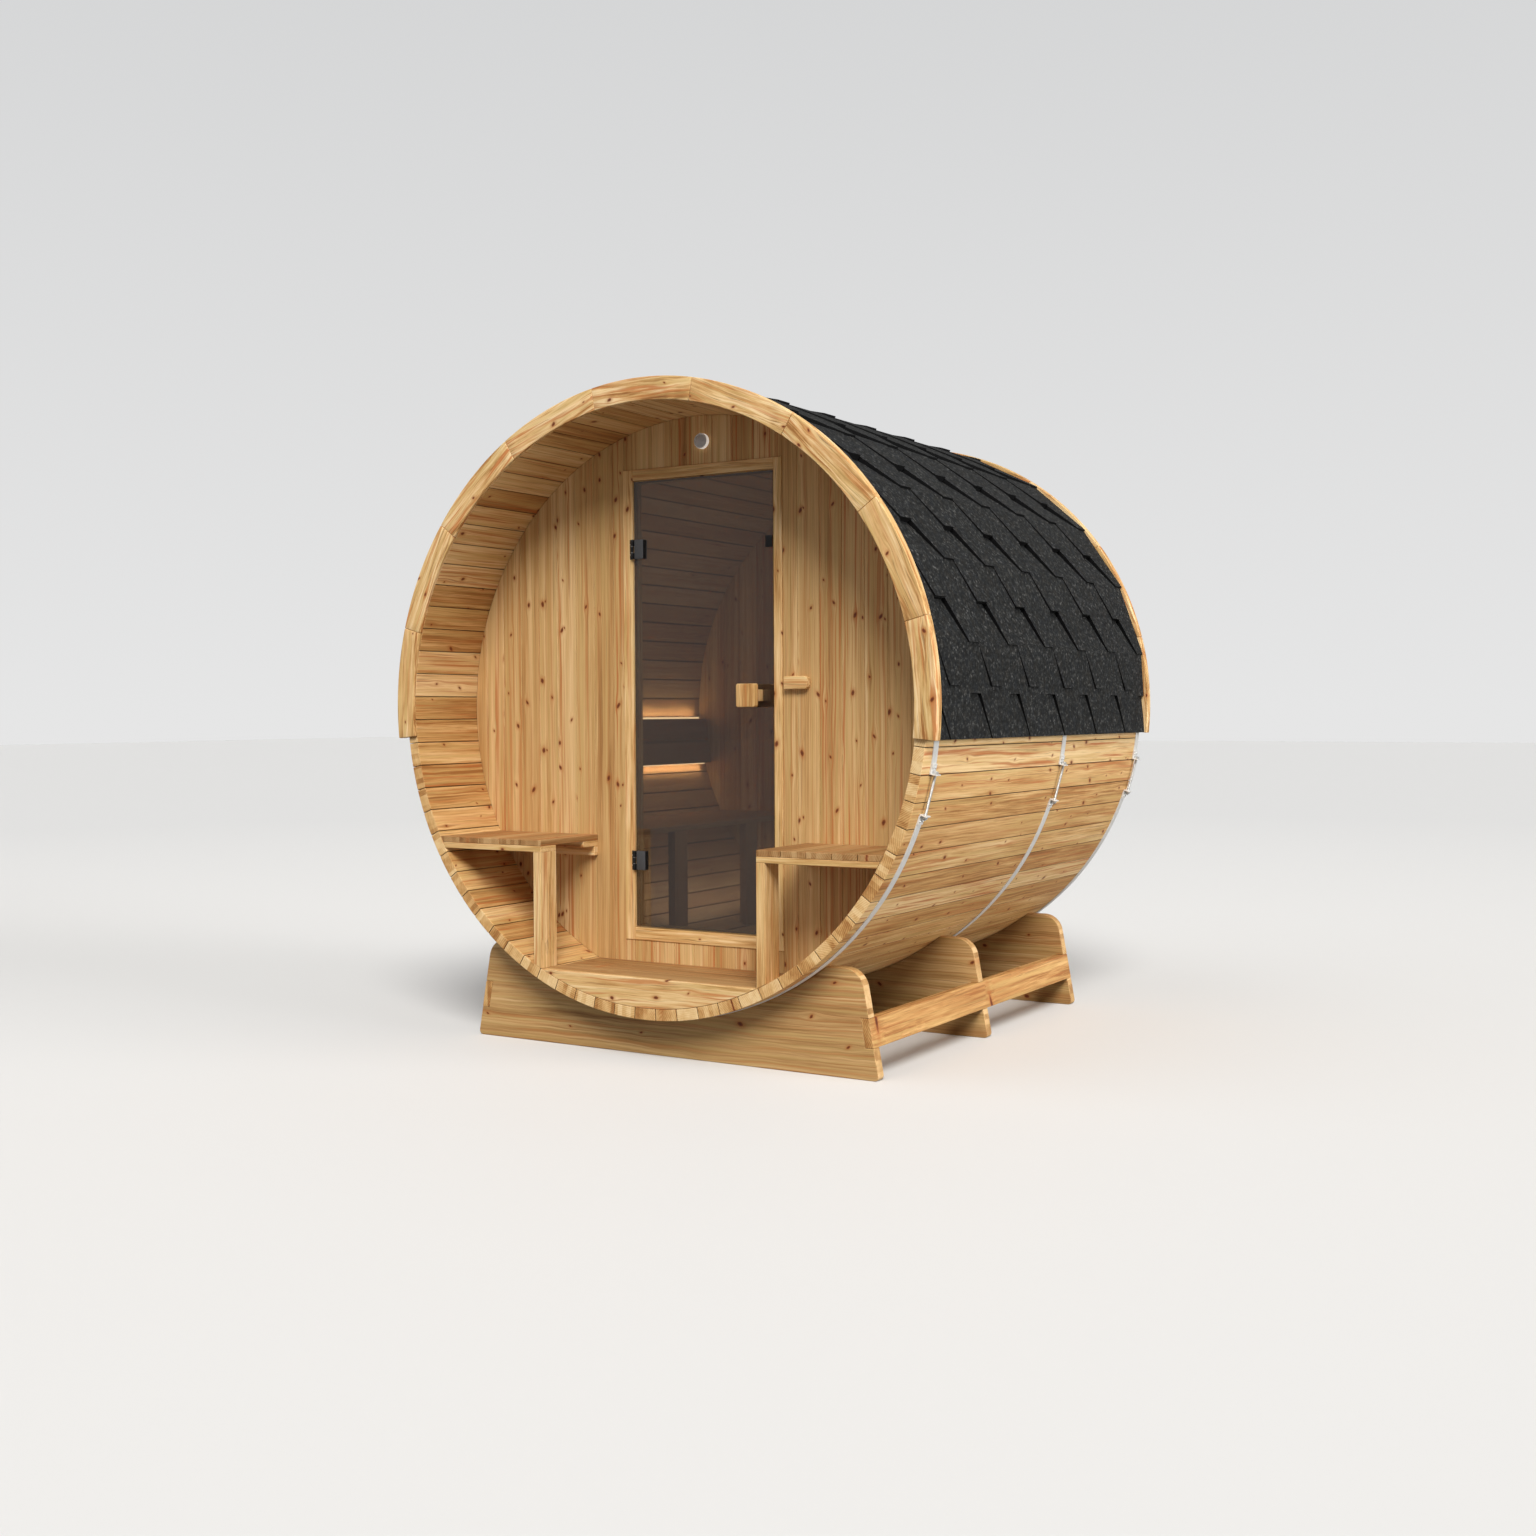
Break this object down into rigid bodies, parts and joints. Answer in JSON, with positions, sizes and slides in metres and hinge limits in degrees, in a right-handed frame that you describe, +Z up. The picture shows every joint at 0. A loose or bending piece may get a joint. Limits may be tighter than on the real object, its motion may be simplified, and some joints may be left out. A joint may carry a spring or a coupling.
{
  "type": "barrel sauna",
  "caption": "Barrel sauna of straight staves on plank cradles, with an open porch with two seats, a tinted glass door, a shingled upper half and steel bands.",
  "frame": {"origin": "on the ground, under the middle of the barrel", "axes": "+X to the right seen from the porch, +Y from the porch to the back wall, +Z up; the barrel axis lies along Y"},
  "size_m": [2.2996, 2.052, 2.409],
  "materials": {
    "wood_trim": "planed softwood, light",
    "wood_stave": "planed softwood staves",
    "wood_wall": "planed softwood boards",
    "shingle": "mineral-faced bitumen shingles",
    "steel": "zinc-coated steel",
    "glass_tinted": "bronze-tinted toughened glass",
    "hinge_metal": "dark coated metal",
    "lamp": "opal diffuser",
    "led": "warm light strip"
  },
  "bodies": {
    "barrel_body": {"staves_bottom": "wood_stave", "staves_lower_right": "wood_stave", "staves_right": "wood_stave", "staves_upper_right": "wood_stave", "staves_top": "wood_stave", "staves_upper_left": "wood_stave", "staves_left": "wood_stave", "staves_lower_left": "wood_stave", "cradle_front": "wood_stave", "cradle_middle": "wood_stave", "cradle_back": "wood_stave", "base_rails": "wood_stave", "front_arch": "wood_trim", "back_arch": "wood_trim", "jamb_left": "wood_trim", "jamb_right": "wood_trim", "door_head": "wood_trim", "door_sill": "wood_trim", "porch_fascia": "wood_trim", "porch_posts": "wood_trim", "porch_seat_left": "wood_trim", "porch_seat_right": "wood_trim", "porch_seat_rails": "wood_trim", "porch_ledgers": "wood_trim", "latch_block": "wood_trim", "wall_left": "wood_wall", "wall_right": "wood_wall", "wall_over_door": "wood_wall", "wall_under_door": "wood_wall", "back_wall": "wood_wall", "porch_floor": "wood_wall", "cabin_seat": "wood_wall", "cabin_seat_legs": "wood_wall", "cabin_backrest": "wood_wall", "roof_left": "shingle", "roof_right": "shingle", "steel_bands": "steel", "tensioners": "steel", "hinge_plates": "hinge_metal", "porch_light": "lamp", "light_strips": "led"},
    "door": {"door_glass": "glass_tinted", "door_hinges": "hinge_metal", "door_handle_outside": "wood_trim", "door_handle_inside": "wood_trim", "door_catches": "hinge_metal"}
  },
  "joints": [
    {"name": "door_hinge", "type": "hinge", "parent": "barrel_body", "child": "door", "pos_m": [-0.285, -0.674, 1.259], "axis": [0, 0, -1], "range_deg": [0, 100]}
  ]
}
